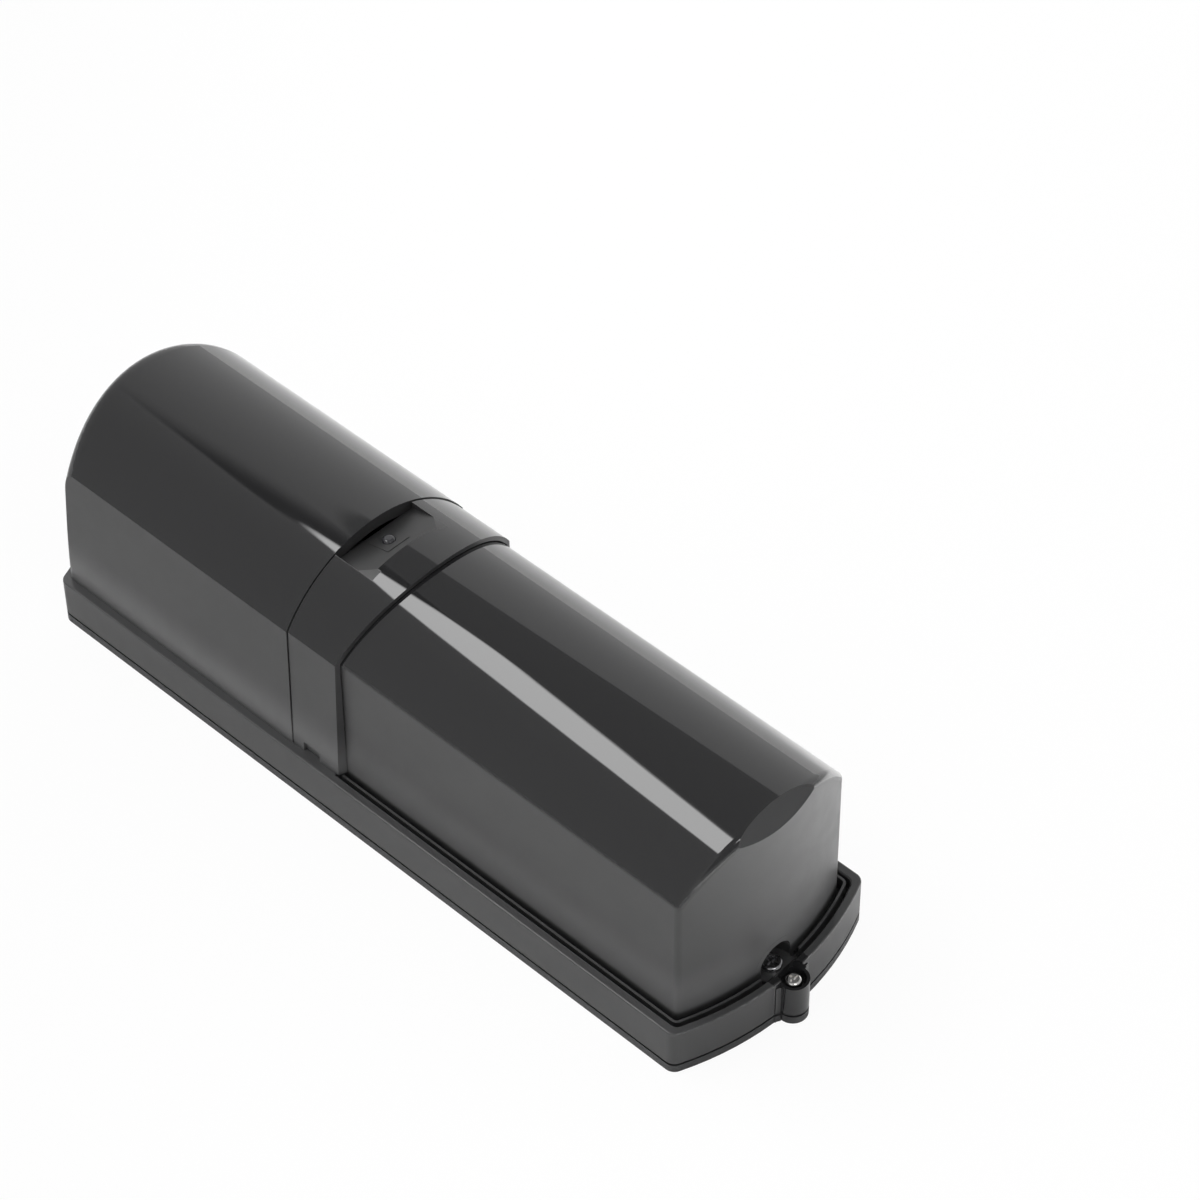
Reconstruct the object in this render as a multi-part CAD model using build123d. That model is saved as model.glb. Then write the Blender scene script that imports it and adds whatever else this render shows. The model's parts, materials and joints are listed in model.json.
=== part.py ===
from build123d import *
from math import asin, atan2, degrees, radians, sqrt, tan
import os

# Infrared beam detector: a long wall-mounted housing lying on its back.
# X is the width, +Y points to the top of the mounted unit, Z points away from the wall.
# The origin is the middle of the mounting face.

# Plan of the base
base_width = 79.0
side_length = 254.2
end_bulge = 8.6
far_run = 1.4
corner_radius = 3.5

# Mounting plate and its gasket
plate_thickness = 2.7
gasket_thickness = 0.8
gasket_width = 2.0
gasket_inset = 0.9
plate_rib_inset = 5.2
plate_rib = 1.4
plate_rib_rise = 1.3
rib_corner = 2.0
inner_corner = 1.5
mount_pitch = 83.5
mount_slot_width = 4.6
mount_slot_length = 9.0
mount_slot_offset = 12.0
grommet_radius = 8.0
grommet_y = -112.0
grommet_lip = 1.4
cable_hole_radius = 3.5
grommet_flange = 1.2

# Skirt and ledge
skirt_top = 16.5
skirt_wall = 2.4
ledge_side = 2.85
ledge_end = 2.5
ledge_chamfer = 0.4
ledge_flare = 45
ledge_edge = 0.5
ledge_thickness = 2.4
ceiling_step = 2.0

# Roof: an arc about an axis that runs along Y
roof_axis = 40.3
far_roof_radius = 41.3
far_draft = 1.7
far_end_inset = 1.9
far_end_draft = 4.2
far_end_round = 5.5
hood_corner = 2.6
hood_wall = 2.4
facet_length = 3.4
facet_drop = 7.8
facet_radius = 57.0
near_end_round = 2.5

# Near cover, set in from the far hood
cover_step = 2.0
cover_side_inset = 6.1
cover_end_inset = 6.2
cover_corner = 2.2
cover_wall = 2.2
cover_draft = 0.15
cover_rim_y = 11.6
rim_gap = 0.5
fit_gap = 0.3

# Centre band
band_far_y = 28.0
seam_gap = 0.3
band_drop = 0.35
band_near_y = 1.6
flange_thickness = 2.5

# Viewing pocket in the band
pocket_half = 15.0
pocket_near_y = 14.0
pocket_low = 76.0
pocket_high = 79.6
pocket_skin = 1.4
pocket_ramp = 1.0
led_y = 21.5
led_radius = 2.0
led_collar = 2.9
led_dome = 1.1
led_pad_half = 4.2
led_pad_rise = 0.3

# Pry notches at the foot of the band
notch_length = 6.6
notch_height = 3.4
notch_depth = 1.1
notch_y = 20.0

# Sealing channel round the near cover
channel_floor = 11.5
channel_floor_thickness = 1.8
channel_outer = 0.1
channel_corner = 2.4
channel_run = 0.8
fin_corner = 2.2
fin_inset = 3.95
fin_thickness = 0.75
fin_top = 16.2
inner_rib = 1.6
inner_rib_top = 18.0
seal_height = 1.6
seal_width = 2.6
window_rise = 20.0

# Screw pocket of the near cover
screw_y = -128.1
scoop_radius = 6.3
scoop_wall = 1.8
scoop_centre = 16.7
tab_thickness = 1.8
cover_screw_head = 3.1
cover_screw_head_height = 1.7
cover_screw_shank = 1.5
cover_screw_length = 6.0
cover_insert_depth = 5.0

# Lug with the lock screw
lug_y = -136.3
lug_radius = 4.6
lug_top = 14.6
lug_neck = 2.0
lug_bore = 3.7
lug_bore_depth = 2.4
lug_relief = 0.02
lock_head = 2.5
lock_head_height = 2.1
lock_shank = 1.5
insert_radius = 2.3
insert_depth = 1.9
recess_width = 0.7
recess_depth = 0.9

# Optical units
near_unit_y = -36.0
far_unit_y = 84.0
lens_radius = 21.0
lens_edge = 2.0
lens_crown = 4.0
barrel_radius = 23.0
barrel_front = 17.0
barrel_belt = 10.0
barrel_back = 18.0
barrel_wall = 1.6
cup_radius = 11.0
cup_depth = 4.0
lens_seat = 3.5
lens_shelf = 1.5
lens_gap = 0.05
belt_skin = 0.6
cup_floor = 0.8
barrel_mouth = 16.4
emitter_flange = 0.4
emitter_flange_height = 1.0
board_thickness = 1.6
emitter_radius = 2.5
emitter_length = 8.0
trunnion_radius = 2.5
trunnion_shoulder = 4.5
running_gap = 0.05
side_gap = 0.4
ring_arm = 3.0
ring_half_width = 28.0
ring_half_length = 31.0
ring_half_height = 4.5
ring_corner = 5.0
post_thickness = 3.5
post_top = 6.5
post_foot = 17.0
pivot_radius = 2.5
pivot_thread = 1.5
pivot_head = 3.8
pivot_head_height = 2.0
pivot_head_round = 0.6
pivot_tip = 0.4
post_neck = 6.0
post_foot_length = 8.0
post_foot_thickness = 2.0

# Chassis
chassis_base = 4.4
chassis_floor = 2.0
chassis_half = 27.0
chassis_near_y = -74.0
chassis_far_y = 122.0
chassis_flange = 11.0
chassis_window_length = 44.0
chassis_window_half = 18.0
chassis_flange_thickness = 1.8
chassis_screw_reach = 30.0
slot_window_length = 9.2
chassis_screw_x = 22.0
screw_head = 2.8
screw_head_height = 1.8
screw_shank = 1.25
screw_clearance = 0.2
screw_round = 0.45
recess_span = 1.25
pilot_floor = 1.0
screw_tip_gap = 0.2
housing_boss = 3.2
housing_screw_side = 3.4
housing_screw_end = 9.0
housing_screw_reach = 4.5
housing_screw_sink = 0.1

# Viewfinder tower and indicator
tower_half = 14.0
tower_near_y = 9.0
tower_far_y = 36.0
tower_top = 48.0
tower_shoulder = 30.0
tower_core_top = 27.0
tower_wall = 2.5
tower_end_wall = 3.0
mast_half = 3.0
mirror_thickness = 1.5
mirror_length = 20.0
mirror_margin = 3.0
light_pipe_foot = 2.0
indicator_half = 10.0
indicator_length = 16.0
indicator_z = 66.0
indicator_thickness = 1.2

# Wiring space
main_half = 25.0
main_near_y = -106.5
main_far_y = -76.5
main_z = 8.0
main_post = 3.0
main_screw_inset = 3.6
terminal_ways = 6
terminal_pitch = 6.2
terminal_depth = 9.0
terminal_height = 11.0
terminal_y = -101.0
terminal_chamfer = 1.2
mouth_wall = 1.6
mouth_height = 4.0
mouth_middle = 3.4
mouth_depth = 4.0
clamp_bore = 2.1
clamp_head = 2.0
clamp_depth = 3.0
clamp_sink = 1.2
switch_x = 12.5
switch_y = -84.5
switch_width = 10.0
switch_depth = 7.0
switch_height = 9.0
plunger_radius = 1.7
plunger_top = 22.5
plunger_travel = 1.5
plunger_guide = 5.0
plunger_spring = 0.5
switch_round = 0.5
cover_post_root = 1.5
cover_post_radius = 2.4

# Worked out from the sizes above
half_width = base_width / 2
end_radius = (half_width**2 + end_bulge**2) / (2 * end_bulge)
end_centre = side_length / 2 + end_bulge - end_radius
skirt_foot = plate_thickness + gasket_thickness
near_roof_radius = far_roof_radius - cover_step
chassis_top = chassis_base + chassis_floor
main_top = main_z + board_thickness
seat_z = channel_floor + seal_height
reach = 400.0
above = 5.0


def end_y(end_inset):
    """Distance of the middle of an inset end arc from the origin."""
    return end_centre + end_radius - end_inset


def plan(side_inset, end_inset, radius):
    """Plan outline with straight sides and bulged ends, inset from the base outline."""
    half = half_width - side_inset
    arc = end_radius - end_inset
    corner = end_centre + sqrt(arc**2 - half**2)
    crown = end_centre + arc
    far_corner = corner + far_run
    outline = Line((half, -corner), (half, far_corner))
    outline += ThreePointArc((half, far_corner), (0, crown + far_run), (-half, far_corner))
    outline += Line((-half, far_corner), (-half, -corner))
    outline += ThreePointArc((-half, -corner), (0, -crown), (half, -corner))
    face = make_face(outline)
    return fillet(face.vertices(), radius)


def prism(side_inset, end_inset, radius, low, high, draft=0):
    """Upright prism of an inset plan between two heights."""
    return extrude(Pos(0, 0, low) * plan(side_inset, end_inset, radius), high - low, taper=draft)


def span(low_y, high_y, low_z=-reach / 2, high_z=reach / 2, half=reach / 2):
    """Block between two Y and two Z values."""
    size = (2 * half, high_y - low_y, high_z - low_z)
    return Pos(0, (low_y + high_y) / 2, (low_z + high_z) / 2) * Box(*size)


def facet_cut(edge_y, edge_z, side, skin):
    """Space above a steep, gently crowned facet that starts at a roof edge and falls to one end."""
    slope = degrees(atan2(facet_drop, facet_length))
    block = Pos(0, 0, half_width / 2 - skin) * Box(2 * base_width, base_width, half_width)
    block -= Pos(0, 0, -facet_radius) * Rot(90, 0, 0) * Cylinder(facet_radius - skin, reach)
    return Pos(0, edge_y, edge_z) * Rot(-side * slope, 0, 0) * block


def roof_end(form, side):
    """Edge between the roof and one end wall."""
    edges = [edge for edge in form.edges() if edge.bounding_box().size.X > half_width]
    return [edge for edge in edges if edge.center().Z > roof_axis and side * edge.center().Y > end_centre]


def hood(side_inset, end_inset, radius, roof_radius, low, draft, skin=0):
    """Hood form: walls of an inset plan under an arched roof."""
    corner = max(radius - skin, ledge_edge)
    walls = prism(side_inset + skin, end_inset + skin, corner, low, roof_axis + roof_radius + above, draft)
    arch = Pos(0, 0, roof_axis) * Rot(90, 0, 0) * Cylinder(roof_radius - skin, reach)
    arch += span(-reach / 2, reach / 2, -reach / 4, roof_axis)
    return walls & arch


def far_form(skin=0, low=skirt_top):
    """Outer form of the far hood, or its inside when a skin is given, with a leaning, rounded end."""
    form = hood(ledge_side, far_end_inset, hood_corner, far_roof_radius, low, far_draft, skin)
    lean = Circle(end_radius - far_end_inset - skin)
    height = roof_axis + far_roof_radius + above - low
    middle = end_centre + far_run
    form &= Pos(0, middle, low) * extrude(lean, height, taper=far_end_draft) + span(-reach / 2, middle)
    return fillet(roof_end(form, 1), far_end_round - skin)


def near_form(skin=0, low=seat_z):
    """Outer form of the near cover, or its inside when a skin is given, with a facet over a rounded end."""
    form = hood(cover_side_inset, cover_end_inset, cover_corner, near_roof_radius, low, cover_draft, skin)
    if skin == 0:
        form = fillet(roof_end(form, -1), near_end_round)
    roof = roof_axis + near_roof_radius
    edge = end_y(cover_end_inset) - facet_length - (roof - low) * tan(radians(cover_draft))
    return form - facet_cut(-edge, roof, -1, skin)


def upright(radius, x, y, low, high):
    """Upright cylinder between two heights."""
    return Pos(x, y, (low + high) / 2) * Cylinder(radius, high - low)


def scoop(radius, low):
    """Upright well with a domed top, seen as an arch in the end wall of the near cover."""
    return upright(radius, 0, screw_y, low, scoop_centre) + Pos(0, screw_y, scoop_centre) * Sphere(radius)


def cross_recess(x, y, top, size):
    """Cross recess of a screw head."""
    slot = Box(size, recess_width, 2 * recess_depth)
    return Pos(x, y, top) * (slot + Rot(0, 0, 90) * slot)


def screw(x, y, seat, head, head_height, shank, length):
    """Pan head screw with its axis along Z and its head resting at a height."""
    crown = round_top(Cylinder(head, head_height), head_height * screw_round)
    body = Pos(x, y, seat + head_height / 2) * crown
    body += upright(shank, x, y, seat - length, seat)
    return body - cross_recess(x, y, seat + head_height, head * recess_span)


def round_top(shape, size):
    """Round the upper outer edge of a turned head."""
    return fillet(shape.edges().filter_by(GeomType.CIRCLE).sort_by(Axis.Z)[-1:], size)


def lug_column(low, high, radius=lug_radius):
    """Round lug at the near end."""
    return upright(radius, 0, lug_y, low, high)


def lug_neck_fill(low, high):
    """Web with concave flanks that blends the lug into the end wall."""
    width = lug_radius + lug_neck
    web = span(lug_y, -end_y(skirt_wall), low, high, width)
    wall_y = -end_y(0)
    for side in (-1, 1):
        web -= upright(lug_neck, side * width, wall_y - lug_neck, low, high)
        beyond = Box(2 * lug_neck, 2 * above, high - low)
        web -= Pos(side * width, wall_y - lug_neck - above, (low + high) / 2) * beyond
    return web


def make_mounting_plate():
    """Back plate with ribs, bosses, mounting slots, the wiring hole and the lug foot."""
    plate = prism(0, 0, corner_radius, 0, plate_thickness)
    plate += lug_column(0, plate_thickness) + lug_neck_fill(0, plate_thickness)
    rib_top = plate_thickness + plate_rib_rise
    inner = plate_rib_inset + plate_rib
    ring = prism(plate_rib_inset, plate_rib_inset, rib_corner, plate_thickness, rib_top)
    ring -= prism(inner, inner, inner_corner, plate_thickness, rib_top)
    for x, y in housing_screw_places():
        ring -= upright(housing_boss + fit_gap, x, y, plate_thickness, rib_top)
    ring -= upright(scoop_radius + fit_gap, 0, screw_y, plate_thickness, rib_top)
    plate += ring
    for y in chassis_screw_rows():
        for x in (-chassis_screw_x, chassis_screw_x):
            plate += upright(main_post, x, y, 0, chassis_base)
    for x, y in main_screw_places():
        plate += upright(main_post, x, y, 0, main_z)
    for x, y in housing_screw_places():
        plate -= upright(screw_shank + screw_clearance, x, y, 0, rib_top)
        plate -= upright(screw_head + fit_gap, x, y, 0, screw_head_height)
    for y in (-mount_pitch / 2, mount_pitch / 2):
        slot = SlotCenterToCenter(mount_slot_length - mount_slot_width, mount_slot_width)
        for x in (-mount_slot_offset, mount_slot_offset):
            plate -= Pos(x, y, 0) * extrude(slot, plate_thickness)
    plate -= upright(grommet_radius - grommet_lip, 0, grommet_y, 0, plate_thickness)
    for x, y in main_screw_places():
        plate -= upright(screw_shank, x, y, pilot_floor, main_z)
    for y in chassis_screw_rows():
        for x in (-chassis_screw_x, chassis_screw_x):
            plate -= upright(screw_shank, x, y, pilot_floor, chassis_base)
    plate -= upright(insert_radius, 0, lug_y, plate_thickness - insert_depth, plate_thickness)
    return plate


def chassis_screw_rows():
    """Rows of screws that hold the chassis to the plate."""
    return [y + side * chassis_screw_reach for y in (near_unit_y, far_unit_y) for side in (-1, 1)]


def main_screw_places():
    """Screws at the corners of the main board."""
    x = main_half - main_screw_inset
    ends = (main_near_y + main_screw_inset, main_far_y - main_screw_inset)
    return [(side * x, y) for side in (-1, 1) for y in ends]


def housing_screw_places():
    """Screws that hold the housing to the plate from behind."""
    x = half_width - skirt_wall - housing_screw_side
    y = side_length / 2 - housing_screw_end
    return [(side * x, end) for side in (-1, 1) for end in (-y, y + far_run)]


def make_plate_gasket():
    """Flat foam gasket between the plate and the skirt."""
    ring = prism(gasket_inset, gasket_inset, corner_radius - gasket_inset, plate_thickness, skirt_foot)
    inner = gasket_inset + gasket_width
    ring -= prism(inner, inner, inner_corner, plate_thickness, skirt_foot)
    ring += lug_column(plate_thickness, skirt_foot, lug_radius - gasket_inset)
    return ring - lug_column(plate_thickness, skirt_foot, insert_radius + fit_gap)


def make_base_housing():
    """Moulded skirt, ledge and far hood in one piece, open at the back and along the near half."""
    skirt = prism(0, 0, corner_radius, skirt_foot, skirt_top)
    skirt = fillet(skirt.faces().sort_by(Axis.Z)[-1].edges(), ledge_edge)
    skirt += lug_column(skirt_foot, skirt_top) + lug_neck_fill(skirt_foot, lug_top)
    skirt -= upright(lug_radius + lug_relief, 0, lug_y, lug_top, skirt_top)
    body = skirt + (far_form() & span(band_far_y, reach / 2))
    body += near_form(0, channel_floor) & span(cover_rim_y + rim_gap, band_far_y + flange_thickness)
    # Room inside the skirt, under the ledge and under the channel floor
    floor_low = channel_floor - channel_floor_thickness
    ledge_low = skirt_top - ledge_thickness
    body -= prism(skirt_wall, skirt_wall, inner_corner, skirt_foot, floor_low)
    under_ledge = prism(skirt_wall, skirt_wall, inner_corner, floor_low, ledge_low)
    body -= under_ledge & span(cover_rim_y + rim_gap + ceiling_step, reach / 2)
    # Inside of the far hood and of the spigot under the band
    body -= far_form(hood_wall, skirt_foot) & span(band_far_y + flange_thickness, reach / 2)
    body -= near_form(cover_wall, skirt_foot) & span(cover_rim_y, band_far_y + flange_thickness)
    # Window under the pocket of the band
    window_half = pocket_half + pocket_skin + fit_gap
    body -= span(cover_rim_y, band_far_y, roof_axis + window_rise, reach / 4, window_half)
    # Channel, its fin and the inner rib
    body -= near_channel()
    body += near_fin()
    rib_inset = cover_wall + fit_gap
    side = cover_side_inset + rib_inset
    end = cover_end_inset + rib_inset
    rib = prism(side, end, inner_corner, floor_low, inner_rib_top)
    opening = prism(side + inner_rib, end + inner_rib, inner_corner, 0, inner_rib_top)
    near_side = span(-reach / 2, cover_rim_y + rim_gap)
    body += rib & near_side
    body -= opening & near_side
    body += cover_screw_boss()
    body -= scoop(scoop_radius + scoop_wall + fit_gap, channel_floor) & channel_plan(0, reach / 4)
    # Bosses for the screws that come through the plate
    for x, y in housing_screw_places():
        boss = upright(housing_boss, x, y, skirt_foot, ledge_low if y > 0 else floor_low)
        body += boss - upright(screw_shank, x, y, skirt_foot, floor_low - screw_clearance)
    body -= upright(lock_shank + fit_gap, 0, lug_y, skirt_foot, lug_top)
    body -= upright(lug_bore, 0, lug_y, lug_top - lug_bore_depth, lug_top)
    body -= upright(insert_radius, 0, screw_y, channel_floor - cover_insert_depth, channel_floor)
    return body


def channel_plan(gap, high):
    """Everything inside the outer wall of the channel, above its floor."""
    side = ledge_side + channel_outer + gap
    end = ledge_end + channel_outer + gap
    return prism(side, end, channel_corner, channel_floor, high)


def near_channel():
    """Channel that takes the foot of the near cover, narrower where the band stands over it."""
    wide = channel_plan(0, reach / 4)
    side = ledge_side + channel_outer
    end = ledge_end + channel_outer
    wide += prism(side, end, channel_corner, skirt_top - ledge_chamfer, skirt_top, -ledge_flare)
    side = cover_side_inset - fit_gap
    end = cover_end_inset - fit_gap
    narrow = prism(side, end, cover_corner, channel_floor, reach / 4)
    wide_end = band_edge_y(half_width - ledge_side) + channel_run
    return (wide & span(-reach / 2, wide_end)) + (narrow & span(-reach / 2, cover_rim_y + rim_gap))


def near_fin():
    """Thin upright fin in the channel, outside the foot of the cover."""
    fin = prism(fin_inset, fin_inset, fin_corner, channel_floor, fin_top)
    inner = fin_inset + fin_thickness
    fin -= prism(inner, inner, inner_corner, channel_floor, fin_top)
    return fin & span(-reach / 2, band_edge_y(half_width - fin_inset) - fit_gap)


def cover_screw_boss():
    """Solid boss under the cover screw."""
    return upright(scoop_radius, 0, screw_y, skirt_foot, channel_floor)


def band_edge_y(x):
    """Y of the near edge of the band, an arc of the same radius as the ends of the base."""
    return band_near_y + end_radius - sqrt(end_radius**2 - x**2)


def pocket_floor_z(y):
    """Height of the pocket floor, which falls towards the far hood."""
    return pocket_low + (band_far_y - y) * (pocket_high - pocket_low) / (band_far_y - pocket_near_y)


def pocket_block(half, near_y, far_y, drop, top):
    """Block above the sloping pocket floor."""
    outline = Polyline((near_y, pocket_floor_z(near_y) - drop), (far_y, pocket_floor_z(far_y) - drop),
                       (far_y, top), (near_y - pocket_ramp, top), close=True)
    return Pos(-half, 0, 0) * extrude(Plane.YZ * make_face(outline), 2 * half)


def make_centre_band():
    """U-shaped band over the joint, with the viewing pocket, its light hole and pry notches."""
    far_edge = band_far_y - seam_gap
    outer = hood(ledge_side + band_drop, ledge_end, hood_corner, far_roof_radius - band_drop,
                 skirt_top, far_draft)
    inner = near_form(-fit_gap, 0)
    near_cut = upright(end_radius, 0, band_near_y + end_radius, 0, reach / 4)
    strip = outer & span(0, far_edge) & near_cut
    band = strip - inner
    top = roof_axis + far_roof_radius + above
    tub = pocket_block(pocket_half + pocket_skin, pocket_near_y - pocket_ramp, far_edge, pocket_skin, top)
    band += tub & strip
    band -= pocket_block(pocket_half, pocket_near_y, far_edge, 0, top)
    pad = Box(2 * led_pad_half, 2 * led_pad_half, led_pad_rise)
    slope = degrees(asin((pocket_high - pocket_low) / (band_far_y - pocket_near_y)))
    band += Pos(0, led_y, pocket_floor_z(led_y)) * Rot(-slope, 0, 0) * pad
    band -= upright(led_radius + side_gap / 4, 0, led_y, indicator_z, top)
    for side in (-1, 1):
        foot = half_width - ledge_side - band_drop
        notch = Pos(side * foot, notch_y, skirt_top) * Box(2 * notch_depth, notch_length, 2 * notch_height)
        band -= notch
    return band


def make_near_cover():
    """Removable cover of the near half with the screw pocket, its tab and the switch post."""
    cover = near_form() & span(-reach / 2, cover_rim_y)
    cover -= near_form(cover_wall, 0)
    well = scoop(scoop_radius + scoop_wall, channel_floor) & prism(
        cover_side_inset, cover_end_inset, cover_corner, channel_floor, reach / 4)
    cover += well
    tab_top = channel_floor + tab_thickness
    cover -= scoop(scoop_radius, tab_top)
    cover += upright(scoop_radius, 0, screw_y, channel_floor, tab_top) & channel_plan(fit_gap, tab_top)
    cover -= upright(cover_screw_shank + fit_gap, 0, screw_y, channel_floor, tab_top)
    roof = roof_axis + sqrt((near_roof_radius - cover_wall) ** 2 - (switch_x + cover_post_radius) ** 2)
    post = upright(cover_post_radius, switch_x, switch_y, plunger_top + fit_gap, roof + cover_post_root)
    return cover + post


def make_cover_seal():
    """Rubber cord in the channel under the foot of the near cover."""
    side = cover_side_inset + (cover_wall - seal_width) / 2
    end = cover_end_inset + (cover_wall - seal_width) / 2
    ring = prism(side, end, cover_corner, channel_floor, seat_z)
    ring -= prism(side + seal_width, end + seal_width, inner_corner, channel_floor, seat_z)
    ring &= span(-reach / 2, cover_rim_y)
    return ring - upright(scoop_radius + scoop_wall + fit_gap, 0, screw_y, channel_floor, seat_z)


def make_lens():
    """Plano-convex lens at the front of a barrel, about the unit's centre."""
    back = barrel_front - lens_seat
    crown_radius = (lens_radius**2 + lens_crown**2) / (2 * lens_crown)
    disc = upright(lens_radius, 0, 0, back, back + lens_edge + lens_crown)
    ball = Pos(0, 0, back + lens_edge + lens_crown - crown_radius) * Sphere(crown_radius)
    return disc & ball


def make_barrel():
    """Lens barrel: a stepped cone turned about Z, with a board cup behind and side trunnions."""
    back_inner = cup_radius - barrel_wall
    seat = barrel_front - lens_seat
    shelf = lens_radius - lens_shelf
    belt = barrel_belt - belt_skin
    cup_top = cup_depth - barrel_back + cup_floor
    profile = Polyline(
        (barrel_radius, barrel_front), (barrel_radius, barrel_belt),
        (cup_radius, cup_depth - barrel_back), (cup_radius, -barrel_back),
        (back_inner, -barrel_back), (back_inner, cup_top),
        (shelf, belt), (shelf, seat),
        (lens_radius + lens_gap, seat), (lens_radius + lens_gap, barrel_front), close=True)
    shell = revolve(Plane.XZ * make_face(profile), Axis.Z)
    shoulder = ring_half_width - ring_arm - side_gap
    bore = revolve(Plane.XZ * make_face(Polyline(
        (0, -barrel_back), (back_inner, -barrel_back), (back_inner, cup_top),
        (shelf, belt), (0, belt), close=True)), Axis.Z)
    pins = Rot(0, 90, 0) * Cylinder(trunnion_shoulder, 2 * shoulder)
    pins += Rot(0, 90, 0) * Cylinder(trunnion_radius, 2 * ring_half_width)
    return shell + (pins - bore - Cylinder(barrel_mouth, 2 * barrel_back))


def make_emitter_board():
    """Round board in the cup at the back of a barrel."""
    radius = cup_radius - barrel_wall
    return upright(radius, 0, 0, cup_floor - barrel_back, cup_floor - barrel_back + board_thickness)


def make_emitter():
    """Infrared diode on its board, facing the lens."""
    base = cup_floor - barrel_back + board_thickness
    body = upright(emitter_radius, 0, 0, base, base + emitter_length - emitter_radius)
    body += Pos(0, 0, base + emitter_length - emitter_radius) * Sphere(emitter_radius)
    return body + upright(emitter_radius + emitter_flange, 0, 0, base, base + emitter_flange_height)


def make_pan_ring():
    """Rectangular ring that carries the barrel and turns in the chassis posts."""
    outer = RectangleRounded(2 * ring_half_width, 2 * ring_half_length, ring_corner)
    inner = RectangleRounded(2 * (ring_half_width - ring_arm), 2 * (ring_half_length - ring_arm),
                             ring_corner - ring_arm)
    ring = extrude(outer - inner, ring_half_height, both=True)
    ring -= Rot(0, 90, 0) * Cylinder(trunnion_radius + running_gap, 3 * ring_half_width)
    ring -= Rot(90, 0, 0) * Cylinder(pivot_thread, 3 * ring_half_length)
    return ring


def make_pivot_screws():
    """Two shoulder screws that pass through the posts into the ends of the ring."""
    post_in = ring_half_length + side_gap
    shoulder_end = post_in + post_thickness + fit_gap
    solids = []
    for side in (-1, 1):
        turn = Rot(-90 * side, 0, 0)
        thread = ring_half_length - ring_arm + pivot_tip
        body = upright(pivot_thread, 0, 0, thread, ring_half_length)
        body += upright(pivot_radius, 0, 0, ring_half_length, shoulder_end)
        head = upright(pivot_head, 0, 0, shoulder_end, shoulder_end + pivot_head_height)
        body += fillet(head.edges().sort_by(Axis.Z)[-1:], pivot_head_round)
        body -= cross_recess(0, 0, shoulder_end + pivot_head_height, pivot_head)
        solids.append(turn * body)
    return Compound(children=solids)


def post_outline():
    """Gusseted bearing post in the XZ plane, about the pan axis."""
    foot = chassis_top - roof_axis
    outline = Polyline((-post_foot, foot), (post_foot, foot), (post_top, -post_neck), (post_top, 0),
                       (-post_top, 0), (-post_top, -post_neck), close=True)
    face = make_face(outline) + Circle(post_top)
    return face - Circle(pivot_radius + running_gap)


def make_bearing_posts():
    """Two upright bearing posts of a unit, each with a foot that is screwed to the chassis."""
    solids = []
    for side in (-1, 1):
        post_out = ring_half_length + side_gap + post_thickness
        middle = side * (post_out - post_thickness / 2)
        post = Pos(0, middle, 0) * extrude(Plane.XZ * post_outline(), post_thickness / 2, both=True)
        low = chassis_top - roof_axis
        ends = sorted((side * post_out, side * (post_out - post_foot_length)))
        half = chassis_half - chassis_flange_thickness - fit_gap
        post += span(ends[0], ends[1], low, low + post_foot_thickness, half)
        for x in (-chassis_screw_x, chassis_screw_x):
            hole = screw_shank + screw_clearance
            post -= upright(hole, x, side * chassis_screw_reach, low, low + post_foot_thickness)
        solids.append(post)
    return Compound(children=solids)


def make_chassis_rails():
    """Two angle rails along the inner frame."""
    solids = []
    for side in (-1, 1):
        rail = rail_block(side, chassis_window_half, chassis_top)
        rail += rail_block(side, chassis_half - chassis_flange_thickness, chassis_flange)
        for y in chassis_screw_rows():
            hole = screw_shank + screw_clearance
            rail -= upright(hole, side * chassis_screw_x, y, chassis_base, chassis_top)
        solids.append(rail)
    return Compound(children=solids)


def rail_block(side, inner, top):
    """Bar of a rail from an inner X value to the rail's outer face."""
    bar = Box(chassis_half - inner, chassis_far_y - chassis_near_y, top - chassis_base)
    return Pos(side * (chassis_half + inner) / 2, (chassis_far_y + chassis_near_y) / 2,
               (top + chassis_base) / 2) * bar


def make_chassis_plates():
    """Four cross plates between the rails, with the windows between them."""
    unit = chassis_window_length / 2
    slot = slot_window_length / 2
    edges = [(chassis_near_y, near_unit_y - unit), (near_unit_y + unit, mount_pitch / 2 - slot),
             (mount_pitch / 2 + slot, far_unit_y - unit), (far_unit_y + unit, chassis_far_y)]
    return Compound(children=[
        span(low, high, chassis_base, chassis_top, chassis_window_half) for low, high in edges])


def make_chassis_screws():
    """Eight screws through the feet of the posts and the chassis floor into the plate."""
    places = [(x, y) for y in chassis_screw_rows() for x in (-chassis_screw_x, chassis_screw_x)]
    seat = chassis_top + post_foot_thickness
    length = seat - pilot_floor - screw_tip_gap
    return Compound(children=[
        screw(x, y, seat, screw_head, screw_head_height, screw_shank, length) for x, y in places])


def make_tower():
    """Viewfinder tower between the units: a stem, two sloped mirror seats and a mast."""
    outline = Polyline((-tower_half, chassis_top), (tower_half, chassis_top),
                       (tower_half, tower_shoulder), (mast_half, tower_top), (mast_half, indicator_z),
                       (-mast_half, indicator_z), (-mast_half, tower_top), (-tower_half, tower_shoulder),
                       close=True)
    face = make_face(outline)
    tower = Pos(0, tower_near_y, 0) * extrude(Plane.XZ * face, -(tower_far_y - tower_near_y))
    core = span(tower_near_y + tower_end_wall, tower_far_y - tower_end_wall, chassis_top,
                tower_core_top, tower_half - tower_wall)
    return tower - core


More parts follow.
